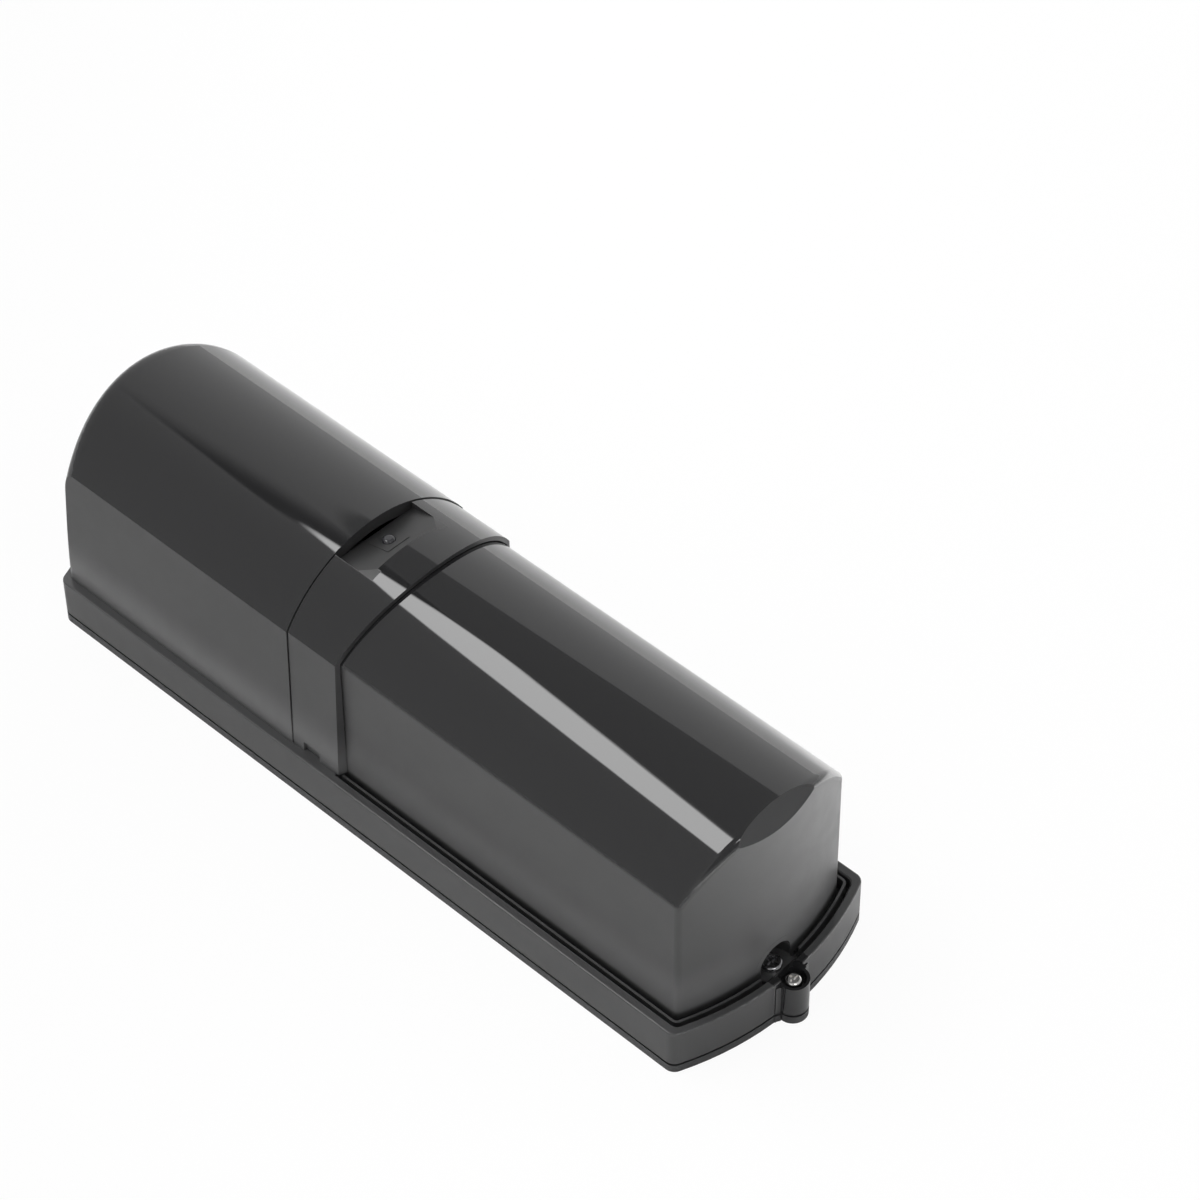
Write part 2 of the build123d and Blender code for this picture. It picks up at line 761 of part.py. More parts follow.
def make_mirrors():
    """Two sighting mirrors on the sloped seats of the tower."""
    solids = []
    middle_x = (tower_half + mast_half) / 2
    middle_z = (tower_shoulder + tower_top) / 2
    middle_y = (tower_near_y + tower_far_y) / 2
    rise = tower_top - tower_shoulder
    run = sqrt(rise**2 + (tower_half - mast_half) ** 2)
    slope = degrees(asin(rise / run))
    for side in (-1, 1):
        plate = Pos(0, 0, mirror_thickness / 2) * Box(run - mirror_margin, mirror_length, mirror_thickness)
        solids.append(Pos(side * middle_x, middle_y, middle_z) * Rot(0, side * slope, 0) * plate)
    return Compound(children=solids)


def make_indicator_board():
    """Small board on the mast under the pocket."""
    return span(led_y - indicator_length / 2, led_y + indicator_length / 2, indicator_z,
                indicator_z + indicator_thickness, indicator_half)


def make_status_led():
    """Domed light pipe from the indicator board to the pocket floor."""
    base = indicator_z + indicator_thickness
    top = pocket_floor_z(led_y) + led_dome
    pipe = upright(led_radius, 0, led_y, base, top)
    return round_top(pipe, led_dome) + upright(led_collar, 0, led_y, base, base + light_pipe_foot)


def make_main_board():
    """Main circuit board of the wiring space."""
    board = span(main_near_y, main_far_y, main_z, main_top, main_half)
    for x, y in main_screw_places():
        board -= upright(screw_shank + screw_clearance, x, y, main_z, main_top)
    return board


def make_board_screws():
    """Screws of the main board."""
    length = main_top - pilot_floor - screw_tip_gap
    return Compound(children=[
        screw(x, y, main_top, screw_head, screw_head_height, screw_shank, length)
        for x, y in main_screw_places()])


def terminal_xs():
    """Middles of the wire ways."""
    return [(i - (terminal_ways - 1) / 2) * terminal_pitch for i in range(terminal_ways)]


def make_terminal_block():
    """Row of screw terminals with a wire mouth in each way."""
    width = terminal_ways * terminal_pitch
    top = main_top + terminal_height
    block = span(terminal_y - terminal_depth / 2, terminal_y + terminal_depth / 2, main_top, top, width / 2)
    block = chamfer(block.edges().filter_by(Axis.X).group_by(Axis.Z)[-1], terminal_chamfer)
    mouth = Box(terminal_pitch - mouth_wall, 2 * mouth_depth, mouth_height)
    for x in terminal_xs():
        block -= Pos(x, terminal_y - terminal_depth / 2, main_top + mouth_middle) * mouth
        block -= upright(clamp_bore, x, terminal_y, top - clamp_depth, top)
    return block


def make_terminal_screws():
    """Slotted clamp screws of the terminal block."""
    top = main_top + terminal_height
    solids = []
    for x in terminal_xs():
        head = upright(clamp_head, x, terminal_y, top - clamp_depth, top - clamp_sink)
        slot = Box(2 * clamp_bore, recess_width, 2 * recess_depth)
        solids.append(head - Pos(x, terminal_y, top - clamp_sink) * slot)
    return Compound(children=solids)


def make_tamper_switch():
    """Switch housing with the guide bore of its plunger."""
    top = main_top + switch_height
    body = Pos(switch_x, switch_y, (main_top + top) / 2) * Box(switch_width, switch_depth, switch_height)
    body = chamfer(body.faces().sort_by(Axis.Z)[-1].edges(), switch_round)
    low = top - plunger_guide - plunger_travel - plunger_spring
    return body - upright(plunger_radius + running_gap, switch_x, switch_y, low, top)


def make_tamper_plunger():
    """Sprung plunger that the post of the closed cover holds down."""
    low = main_top + switch_height - plunger_guide
    pin = upright(plunger_radius, switch_x, switch_y, low, plunger_top)
    return round_top(pin, switch_round)


def make_grommet():
    """Rubber grommet in the wiring hole of the plate."""
    top = plate_thickness + grommet_flange
    ring = upright(grommet_radius, 0, grommet_y, plate_thickness, top)
    ring += upright(grommet_radius - grommet_lip, 0, grommet_y, 0, plate_thickness)
    return ring - upright(cable_hole_radius, 0, grommet_y, 0, top)


def make_housing_screws():
    """Screws that go through the plate into the housing from behind."""
    solids = []
    for x, y in housing_screw_places():
        body = upright(screw_head, x, y, housing_screw_sink, screw_head_height)
        body += upright(screw_shank, x, y, screw_head_height, skirt_foot + housing_screw_reach)
        solids.append(body - cross_recess(x, y, housing_screw_sink, screw_head * recess_span))
    return Compound(children=solids)


def make_cover_screw():
    """Black pan head screw in the arched pocket."""
    return screw(0, screw_y, channel_floor + tab_thickness, cover_screw_head, cover_screw_head_height,
                 cover_screw_shank, cover_screw_length)


def make_cover_insert():
    """Threaded brass insert under the cover screw."""
    low = channel_floor - cover_insert_depth
    ring = upright(insert_radius, 0, screw_y, low, channel_floor)
    return ring - upright(cover_screw_shank, 0, screw_y, low, channel_floor)


def make_lock_screw():
    """Bright pan head screw in the lug."""
    seat = lug_top - lug_bore_depth
    length = seat - plate_thickness + insert_depth - screw_tip_gap
    return screw(0, lug_y, seat, lock_head, lock_head_height, lock_shank, length)


def make_lock_insert():
    """Threaded brass insert in the lug foot of the plate."""
    low = plate_thickness - insert_depth
    ring = upright(insert_radius, 0, lug_y, low, plate_thickness)
    return ring - upright(lock_shank, 0, lug_y, low, plate_thickness)


def at_unit(shape, y):
    """Place a piece of an optical unit at its centre on the pan axis."""
    return Pos(0, y, roof_axis) * shape


nodes = {
    "mounting_plate": make_mounting_plate(),
    "plate_gasket": make_plate_gasket(),
    "base_housing": make_base_housing(),
    "centre_band": make_centre_band(),
    "near_cover": make_near_cover(),
    "cover_seal": make_cover_seal(),
    "cover_screw": make_cover_screw(),
    "cover_insert": make_cover_insert(),
    "lock_screw": make_lock_screw(),
    "lock_insert": make_lock_insert(),
    "housing_screws": make_housing_screws(),
    "status_light": make_status_led(),
    "indicator_board": make_indicator_board(),
    "sight_tower": make_tower(),
    "sight_mirrors": make_mirrors(),
    "chassis_rails": make_chassis_rails(),
    "chassis_plates": make_chassis_plates(),
    "chassis_screws": make_chassis_screws(),
    "main_board": make_main_board(),
    "board_screws": make_board_screws(),
    "terminal_block": make_terminal_block(),
    "terminal_screws": make_terminal_screws(),
    "tamper_switch": make_tamper_switch(),
    "tamper_plunger": make_tamper_plunger(),
    "wire_grommet": make_grommet(),
}
for name, y in (("near", near_unit_y), ("far", far_unit_y)):
    nodes[name + "_bearing_posts"] = at_unit(make_bearing_posts(), y)
    nodes[name + "_pan_ring"] = at_unit(make_pan_ring(), y)
    nodes[name + "_pivot_screws"] = at_unit(make_pivot_screws(), y)
    nodes[name + "_lens_barrel"] = at_unit(make_barrel(), y)
    nodes[name + "_lens"] = at_unit(make_lens(), y)
    nodes[name + "_emitter_board"] = at_unit(make_emitter_board(), y)
    nodes[name + "_emitter"] = at_unit(make_emitter(), y)

os.makedirs("parts", exist_ok=True)
for node, shape in nodes.items():
    export_step(shape, "parts/" + node + ".step")
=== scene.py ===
"""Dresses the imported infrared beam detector: its finishes, its inner fittings, the studio and the camera.

Lengths are metres in the part's own frame: X across, +Y to the top of the mounted unit, +Z off the wall.
"""

import json
import logging
import math
from dataclasses import dataclass, field
from enum import Enum
from typing import Any, Optional, Sequence, Union

import bpy
from mathutils import Matrix, Vector

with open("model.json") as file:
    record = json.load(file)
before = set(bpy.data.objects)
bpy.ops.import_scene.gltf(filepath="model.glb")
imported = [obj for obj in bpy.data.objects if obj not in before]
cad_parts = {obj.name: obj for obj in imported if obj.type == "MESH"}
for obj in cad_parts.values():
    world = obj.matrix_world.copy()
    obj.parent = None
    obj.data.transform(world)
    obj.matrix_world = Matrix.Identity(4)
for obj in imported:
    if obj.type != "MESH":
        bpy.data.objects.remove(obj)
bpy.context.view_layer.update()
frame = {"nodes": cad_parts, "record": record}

log = logging.getLogger("detector")
MM = 0.001

Number = Union[int, float]
Colour = tuple[float, float, float, float]


class Signal:
    """A shader value that takes part in arithmetic; each operation adds one Math node."""

    def __init__(self, bench: "Bench", socket: bpy.types.NodeSocket) -> None:
        """Wrap an output socket of a tree."""
        self.bench = bench
        self.socket = socket

    def _math(self, operation: str, first: Any, second: Any) -> "Signal":
        """Add a Math node.

        Args:
            operation: the node's operation.
            first: a signal or a number.
            second: a signal or a number.

        Returns:
            The node's result.
        """
        return self.bench.add("ShaderNodeMath", {"operation": operation}, {0: first, 1: second})["Value"]

    def __add__(self, other: Any) -> "Signal":
        """Sum."""
        return self._math("ADD", self, other)

    def __radd__(self, other: Any) -> "Signal":
        """Sum, reflected."""
        return self._math("ADD", other, self)

    def __sub__(self, other: Any) -> "Signal":
        """Difference."""
        return self._math("SUBTRACT", self, other)

    def __rsub__(self, other: Any) -> "Signal":
        """Difference, reflected."""
        return self._math("SUBTRACT", other, self)

    def __mul__(self, other: Any) -> "Signal":
        """Product."""
        return self._math("MULTIPLY", self, other)

    def __rmul__(self, other: Any) -> "Signal":
        """Product, reflected."""
        return self._math("MULTIPLY", other, self)

    def __abs__(self) -> "Signal":
        """Size without sign."""
        return self._math("ABSOLUTE", self, 0)

    def at_least(self, other: Any) -> "Signal":
        """The larger of two values."""
        return self._math("MAXIMUM", self, other)

    def at_most(self, other: Any) -> "Signal":
        """The smaller of two values."""
        return self._math("MINIMUM", self, other)

    def power(self, other: Any) -> "Signal":
        """This value raised to a power."""
        return self._math("POWER", self, other)

    def step(self, low: float, high: float, start: float = 0.0, end: float = 1.0) -> "Signal":
        """Map a range smoothly to another.

        Args:
            low: value that gives start.
            high: value that gives end.
            start: result at low.
            end: result at high.

        Returns:
            The mapped value, held at its ends.
        """
        return self.bench.add(
            "ShaderNodeMapRange", {"interpolation_type": "SMOOTHSTEP", "clamp": True},
            {"Value": self, "From Min": low, "From Max": high, "To Min": start, "To Max": end})["Result"]


class Outputs:
    """The outputs of a node by name."""

    def __init__(self, bench: "Bench", node: bpy.types.Node) -> None:
        """Wrap a node."""
        self.bench = bench
        self.node = node

    def __getitem__(self, name: str) -> Signal:
        """Output of that name."""
        return Signal(self.bench, self.node.outputs[name])


class Bench:
    """A node tree under construction."""

    def __init__(self, tree: bpy.types.NodeTree) -> None:
        """Take over a tree and empty it."""
        self.tree = tree
        tree.nodes.clear()

    def add(self, kind: str, settings: Optional[dict[str, Any]] = None,
            inputs: Optional[dict[Any, Any]] = None) -> Outputs:
        """Add a node.

        Args:
            kind: the node's type.
            settings: its properties, set before its sockets.
            inputs: sockets by name or number, each given a number, a colour or a signal.

        Returns:
            The node's outputs.
        """
        node = self.tree.nodes.new(kind)
        for name, value in (settings or {}).items():
            if name == "stops":
                self._stops(node, value)
            else:
                setattr(node, name, value)
        for name, value in (inputs or {}).items():
            if isinstance(value, Signal):
                self.tree.links.new(value.socket, node.inputs[name])
            else:
                node.inputs[name].default_value = value
        return Outputs(self, node)

    @staticmethod
    def _stops(node: bpy.types.Node, stops: Sequence[tuple[float, Colour]]) -> None:
        """Give a colour ramp its stops."""
        elements = node.color_ramp.elements
        while len(elements) < len(stops):
            elements.new(1.0)
        for element, (place, colour) in zip(elements, stops):
            element.position = place
            element.color = colour

    def place(self) -> Signal:
        """Object coordinates of the shaded point."""
        return self.add("ShaderNodeTexCoord")["Object"]

    def along(self, axis: Vector) -> Signal:
        """How far the shaded point lies along a unit vector through the origin."""
        return self.add("ShaderNodeVectorMath", {"operation": "DOT_PRODUCT"},
                        {0: self.place(), 1: tuple(axis)})["Value"]

    def facing(self, axis: str) -> Signal:
        """Component of the object-space normal along an axis."""
        normal = self.add("ShaderNodeTexCoord")["Normal"]
        return self.add("ShaderNodeSeparateXYZ", inputs={"Vector": normal})[axis]

    def coordinates(self) -> tuple[Signal, Signal, Signal]:
        """Object coordinates of the shaded point, one by one."""
        parts = self.add("ShaderNodeSeparateXYZ", inputs={"Vector": self.place()})
        return parts["X"], parts["Y"], parts["Z"]

    def noise(self, scale: float, detail: float = 2.0) -> Signal:
        """Smooth noise about 0.5, with its scale in cycles a metre."""
        return self.add("ShaderNodeTexNoise", inputs={"Vector": self.place(), "Scale": scale,
                                                      "Detail": detail})["Fac"]

    def stretched(self, scales: tuple[float, float, float]) -> Signal:
        """Object coordinates scaled by a factor along each axis."""
        return self.add("ShaderNodeMapping", inputs={"Vector": self.place(), "Scale": scales})["Vector"]

    def mix(self, factor: Any, first: Any, second: Any) -> Signal:
        """Blend two colours by a factor."""
        node = self.add("ShaderNodeMix", {"data_type": "RGBA"}, {"Factor": factor})
        for index, value in ((6, first), (7, second)):
            if isinstance(value, Signal):
                self.tree.links.new(value.socket, node.node.inputs[index])
            else:
                node.node.inputs[index].default_value = value
        return Signal(self, node.node.outputs[2])

    def bump(self, height: Signal, depth: float, strength: float = 1.0) -> Signal:
        """Normal of a surface with that height, whose depth is in metres."""
        return self.add("ShaderNodeBump", inputs={"Height": height, "Distance": depth,
                                                  "Strength": strength})["Normal"]

    def surface(self, shader: Signal) -> None:
        """Send a shader to the material's output."""
        self.add("ShaderNodeOutputMaterial", inputs={"Surface": shader})


def grey(level: float, alpha: float = 1.0) -> Colour:
    """Neutral colour of a level."""
    return (level, level, level, alpha)


@dataclass(frozen=True)
class Finish:
    """A finish for one material slot of the part: a principled surface with its own fine relief."""

    name: str
    colour: Colour
    roughness: float
    ior: float = 1.5
    metallic: float = 0.0
    transmission: float = 0.0

    def relief(self, bench: Bench) -> dict[str, Any]:
        """Sockets that vary over the surface."""
        return {}

    def build(self) -> bpy.types.Material:
        """Make the Blender material.

        Returns:
            The material, ready for an object's slot.
        """
        material = bpy.data.materials.new(self.name)
        material.use_nodes = True
        bench = Bench(material.node_tree)
        inputs: dict[str, Any] = {
            "Base Color": self.colour, "Roughness": self.roughness, "IOR": self.ior,
            "Metallic": self.metallic, "Transmission Weight": self.transmission}
        inputs.update(self.relief(bench))
        bench.surface(bench.add("ShaderNodeBsdfPrincipled", inputs=inputs)["BSDF"])
        material.diffuse_color = self.colour
        return material


@dataclass(frozen=True)
class PolishedMoulding(Finish):
    """Polished plastic with a long faint swell and fine haze; walls, pocket and ledge come out duller.

    The walls and the pocket are satin. Painted light makes the walls paler just above the ledge and the
    hazed flat ledge paler too.
    """

    swell: float = 24e-6
    swell_scale: float = 38.0
    haze: float = 0.012
    haze_scale: float = 420.0
    mottle_scale: float = 130.0
    mottle_depth: float = 0.05
    mottle_shade: float = 0.86
    satin_roughness: float = 0.36
    satin_colour: Colour = (0.022, 0.022, 0.0225, 1.0)
    # Painted light: a paler base colour for the lower walls, standing in for light that the ledge sends
    # back.
    foot_painted_light_colour: Colour = (0.088, 0.088, 0.089, 1.0)
    painted_foot_low: float = 0.018
    painted_foot_high: float = 0.036
    painted_foot_blend: float = 0.002
    wall_from: float = 0.31
    wall_to: float = 0.22
    # Painted light: a paler base colour for the flat ledge, standing in for light that it reflects.
    ledge_painted_light_colour: Colour = (0.052, 0.052, 0.053, 1.0)
    ledge_top: float = 0.0176
    ledge_haze: float = 0.1
    ledge_blend: float = 0.0005
    lug_half: float = 0.007
    lug_y: float = -0.1315
    pocket: tuple[float, float, float, float, float] = (0.0152, 0.0125, 0.0282, 0.0797, 0.05)
    pocket_blend: float = 0.0002

    def relief(self, bench: Bench) -> dict[str, Any]:
        """Gloss that follows the mould: polished roof, satin walls with painted light near the ledge, a
        hazed ledge with a painted paler colour, a mottle on all.
        """
        x, y, z = bench.coordinates()
        upright = abs(bench.facing("Z")).step(self.wall_to, self.wall_from, 1.0, 0.0)
        off_lug = abs(x).step(self.lug_half, self.lug_half + self.ledge_blend).at_least(
            y.step(self.lug_y, self.lug_y + self.ledge_blend))
        satin = (upright * off_lug).at_least(self._in_pocket(x, y, z))
        # Painted light: black gloss surfaces below the ledge top get a paler colour, standing in for
        # reflected light; their extra haze is real roughness.
        ledge = z.step(self.ledge_top, self.ledge_top + self.ledge_blend, 1.0, 0.0) * off_lug
        # Painted light: the walls turn paler towards the ledge, from 36 mm down to 18 mm, standing in for
        # light that the ledge sends back.
        painted_foot = z.step(self.painted_foot_low, self.painted_foot_high, 1.0, 0.0) * z.step(
            self.painted_foot_low - self.painted_foot_blend, self.painted_foot_low)
        mottle = bench.noise(self.mottle_scale, 3.0).step(0.3, 0.7)
        haze = bench.noise(self.haze_scale, 3.0).step(0.35, 0.7) * self.haze + self.roughness
        deep = tuple(self.mottle_shade * c for c in self.satin_colour[:3]) + (1.0,)
        walls = bench.mix(painted_foot, bench.mix(mottle, deep, self.satin_colour), self.foot_painted_light_colour)
        gloss = bench.mix(ledge, self.colour, self.ledge_painted_light_colour)
        dull = mottle * self.mottle_depth + self.satin_roughness
        return {"Base Color": bench.mix(satin, gloss, walls),
                "Roughness": satin * dull + (1 - satin) * (haze + ledge * self.ledge_haze),
                "Normal": bench.bump(bench.noise(self.swell_scale, 1.0), self.swell)}

    def _in_pocket(self, x: Signal, y: Signal, z: Signal) -> Signal:
        """One on the spark-eroded floor of the viewing pocket, zero elsewhere."""
        half, near, far, top, low = self.pocket
        edge = self.pocket_blend
        inside = abs(x).step(half - edge, half, 1.0, 0.0) * y.step(near, near + edge) * y.step(
            far - edge, far, 1.0, 0.0)
        return inside * z.step(top - edge, top, 1.0, 0.0) * z.step(low, low + MM)


@dataclass(frozen=True)
class SparkMoulding(Finish):
    """Plastic out of a spark-eroded mould: a fine even grain."""

    grain: float = 2600.0
    depth: float = 12e-6

    def relief(self, bench: Bench) -> dict[str, Any]:
        """Cellular grain with a slow change of colour."""
        cells = bench.add("ShaderNodeTexVoronoi", {"feature": "SMOOTH_F1"},
                          {"Vector": bench.place(), "Scale": self.grain})["Distance"]
        fine = bench.noise(self.grain * 1.7, 2.0)
        tone = bench.noise(60.0, 2.0).step(0.3, 0.7)
        dark = tuple(0.82 * c for c in self.colour[:3]) + (1.0,)
        return {"Base Color": bench.mix(tone, dark, self.colour),
                "Roughness": fine * 0.12 + (self.roughness - 0.06),
                "Normal": bench.bump(cells * 0.7 + fine * 0.3, self.depth)}


@dataclass(frozen=True)
class Rubber(Finish):
    """Moulded rubber with a dusty sheen."""

    def relief(self, bench: Bench) -> dict[str, Any]:
        """Fine pitting and a bloom that lightens it in patches."""
        bloom = bench.noise(240.0, 4.0).step(0.45, 0.75)
        pale = tuple(1.6 * c for c in self.colour[:3]) + (1.0,)
        pits = bench.noise(3200.0, 2.0)
        return {"Base Color": bench.mix(bloom * 0.6, self.colour, pale),
                "Roughness": bloom * 0.1 + self.roughness,
                "Normal": bench.bump(pits, 10e-6)}


class Lines(Enum):
    """How the fine lines of a worked metal run, as noise scales along X, Y and Z."""

    TURNED = (900.0, 900.0, 9000.0)
    ROLLED = (300.0, 9000.0, 300.0)


@dataclass(frozen=True)
class WorkedMetal(Finish):
    """Turned or rolled metal: fine lines one way and faint tarnish."""

    lines: Lines = Lines.TURNED
    tarnish: float = 0.25
    depth: float = 3e-6

    def relief(self, bench: Bench) -> dict[str, Any]:
        """Lines from stretched noise, and patches of duller metal."""
        line = bench.add("ShaderNodeTexNoise", inputs={
            "Vector": bench.stretched(self.lines.value), "Scale": 1.0, "Detail": 3.0})["Fac"]
        patch = bench.noise(350.0, 3.0).step(0.4, 0.75)
        dull = tuple((1 - self.tarnish) * c for c in self.colour[:3]) + (1.0,)
        return {"Base Color": bench.mix(patch, self.colour, dull),
                "Roughness": patch * 0.08 + line * 0.08 + self.roughness,
                "Normal": bench.bump(line, self.depth)}


@dataclass(frozen=True)
class SolderMask(Finish):
    """Circuit board: green mask over copper tracks, with plated pads."""

    pitch: float = 390.0

    def relief(self, bench: Bench) -> dict[str, Any]:
        """Tracks from a square cell pattern, seen through the mask, and bare pads at some cells."""
        cells = bench.add("ShaderNodeTexVoronoi", {"distance": "CHEBYCHEV", "feature": "F1"},
                          {"Vector": bench.place(), "Scale": self.pitch, "Randomness": 0.45})
        edge = cells["Distance"].step(0.40, 0.46)
        pad = 1 - cells["Distance"].step(0.12, 0.16)
        track_tone = tuple(1.5 * c for c in self.colour[:3]) + (1.0,)
        mask = bench.mix(edge, track_tone, self.colour)
        solder = grey(0.6)
        return {"Base Color": bench.mix(pad, mask, solder),
                "Metallic": pad * 0.9,
                "Roughness": 0.35 - pad * 0.1,
                "Normal": bench.bump(pad * 0.6 + (1 - edge) * 0.4, 30e-6)}


@dataclass(frozen=True)
class ClearPart(Finish):
    """Clear moulded or polished part with a faint flow mark."""

    def relief(self, bench: Bench) -> dict[str, Any]:
        """A very slow ripple."""
        return {"Normal": bench.bump(bench.noise(180.0, 1.0), 2e-6)}


FINISHES: dict[str, Finish] = {
    "black_gloss": PolishedMoulding("black_gloss", (0.009, 0.009, 0.0095, 1), 0.028, ior=1.56),
    "black_plate": SparkMoulding("black_plate", (0.018, 0.018, 0.019, 1), 0.42, ior=1.54),
    "seal_rubber": Rubber("seal_rubber", (0.012, 0.012, 0.012, 1), 0.6),
    "black_screw": WorkedMetal("black_screw", (0.34, 0.34, 0.35, 1), 0.2, metallic=1.0, tarnish=0.3),
    "bright_screw": WorkedMetal("bright_screw", (0.92, 0.91, 0.89, 1), 0.08, metallic=1.0, tarnish=0.12),
    "steel_screw": WorkedMetal("steel_screw", (0.58, 0.58, 0.56, 1), 0.28, metallic=1.0),
    "brass": WorkedMetal("brass", (0.72, 0.52, 0.22, 1), 0.22, metallic=1.0),
    "inner_plastic": SparkMoulding("inner_plastic", (0.05, 0.05, 0.053, 1), 0.45, ior=1.52, grain=2000.0),
    "barrel_plastic": SparkMoulding("barrel_plastic", (0.02, 0.02, 0.02, 1), 0.6, ior=1.5),
    "lens_clear": ClearPart("lens_clear", (0.42, 0.03, 0.03, 1), 0.02, ior=1.49, transmission=1.0),
    "circuit_board": SolderMask("circuit_board", (0.02, 0.13, 0.055, 1), 0.35),
    "diode_clear": ClearPart("diode_clear", (0.72, 0.76, 0.85, 1), 0.03, ior=1.55, transmission=1.0),
    "light_pipe": ClearPart("light_pipe", (0.02, 0.02, 0.023, 1), 0.03, ior=1.6),
    "terminal_green": SparkMoulding("terminal_green", (0.02, 0.22, 0.10, 1), 0.4, ior=1.5),
    "sight_mirror": WorkedMetal("sight_mirror", (0.86, 0.87, 0.88, 1), 0.02, metallic=1.0, tarnish=0.03,
                                depth=0.0, lines=Lines.ROLLED),
    "switch_black": SparkMoulding("switch_black", (0.02, 0.02, 0.02, 1), 0.4, ior=1.5),
    "plunger_white": SparkMoulding("plunger_white", (0.7, 0.7, 0.67, 1), 0.35, ior=1.5, depth=4e-6),
}


@dataclass
class Dresser:
    """Gives every CAD node the finish of its slot."""

    made: dict[str, bpy.types.Material] = field(default_factory=dict)

    def finish(self, slot: str) -> bpy.types.Material:
        """Material of a slot, made once."""
        if slot not in self.made:
            self.made[slot] = FINISHES[slot].build()
        return self.made[slot]

    def dress_nodes(self) -> None:
        """Assign the finishes to all CAD nodes."""
        slots = {part["node"]: part["material_slot"] for part in frame["record"]["subparts"]}
        for node, obj in frame["nodes"].items():
            material = self.finish(slots[node])
            for material_slot in obj.material_slots:
                material_slot.material = material
            log.info("dressed %s in %s", node, slots[node])


@dataclass
class Camera:
    """The photograph's camera, turned about a point on the part."""

    azimuth: float = -45.702
    elevation: float = 45.288
    roll: float = -0.503
    distance: float = 1.182
    target: tuple[float, float, float] = (0.057502, -0.006372, 0.030838)
    lens: float = 119.1

    def axes(self) -> tuple[Vector, Vector, Vector]:
        """Right, up and back of the camera, as unit vectors."""
        a, e, r = (math.radians(v) for v in (self.azimuth, self.elevation, self.roll))
        back = Vector((math.sin(a) * math.cos(e), -math.cos(a) * math.cos(e), math.sin(e)))
        level = Vector((math.cos(a), math.sin(a), 0))
        rise = back.cross(level)
        right = math.cos(r) * level + math.sin(r) * rise
        up = math.cos(r) * rise - math.sin(r) * level
        return right, up, back

    def level_axes(self) -> tuple[Vector, Vector]:
        """The camera's right and forward directions, both level."""
        turn = math.radians(self.azimuth)
        return Vector((math.cos(turn), math.sin(turn), 0)), Vector((-math.sin(turn), math.cos(turn), 0))

    def build(self) -> None:
        """Make the camera and set it as the scene's."""
        data = bpy.data.cameras.new("camera")
        data.lens = self.lens
        data.sensor_width = 36.0
        data.clip_start, data.clip_end = 0.05, 20.0
        camera = bpy.data.objects.new("camera", data)
        bpy.context.scene.collection.objects.link(camera)
        right, up, back = self.axes()
        turn = Matrix((right, up, back)).transposed().to_4x4()
        camera.matrix_world = Matrix.Translation(Vector(self.target) + back * self.distance) @ turn
        bpy.context.scene.camera = camera
        log.info("camera at %s", tuple(round(v, 4) for v in camera.location))


def card(name: str, corners: Sequence[Vector]) -> bpy.types.Object:
    """Flat four-sided stage card that the camera doesn't see.

    Args:
        name: the object's name.
        corners: its corners in order.

    Returns:
        The object.
    """
    mesh = bpy.data.meshes.new(name)
    mesh.from_pydata([tuple(c) for c in corners], [], [(0, 1, 2, 3)])
    obj = bpy.data.objects.new(name, mesh)
    bpy.context.scene.collection.objects.link(obj)
    obj.visible_camera = False
    obj.visible_shadow = False
    return obj


@dataclass(frozen=True)
class Softbox:
    """A lit rectangle with rounded corners on the ceiling, along the camera's level axes.

    Its sides drift to the right by the lean for each metre away, measured from the pivot.
    """

    left: float
    right: float
    near: float
    far: float
    power: float
    rounding: float = 0.05
    lean: float = 0.0
    pivot: float = 0.2
    soft: float = 0.012

    def mask(self, right: Signal, away: Signal) -> Signal:
        """One inside, zero outside: the distance past the inner rectangle against the rounding."""
        middle, half = (self.left + self.right) / 2, (self.right - self.left) / 2
        centre, length = (self.near + self.far) / 2, (self.far - self.near) / 2
        drift = (away - self.pivot) * self.lean + middle
        aside = (abs(right - drift) - (half - self.rounding)).at_least(0)
        beyond = (abs(away - centre) - (length - self.rounding)).at_least(0)
        past = (aside.power(2) + beyond.power(2)).power(0.5)
        return past.step(self.rounding - self.soft, self.rounding + self.soft, 1.0, 0.0)


@dataclass(frozen=True)
class Span:
    """A range over which a light grows from nothing to full, in metres or as part of a direction."""

    start: float
    end: float

    def rise(self, value: Signal) -> Signal:
        """Zero before the start, one past the end."""
        return value.step(self.start, self.end)

    def fall(self, value: Signal) -> Signal:
        """One before the start, zero past the end."""
        return value.step(self.start, self.end, 1.0, 0.0)


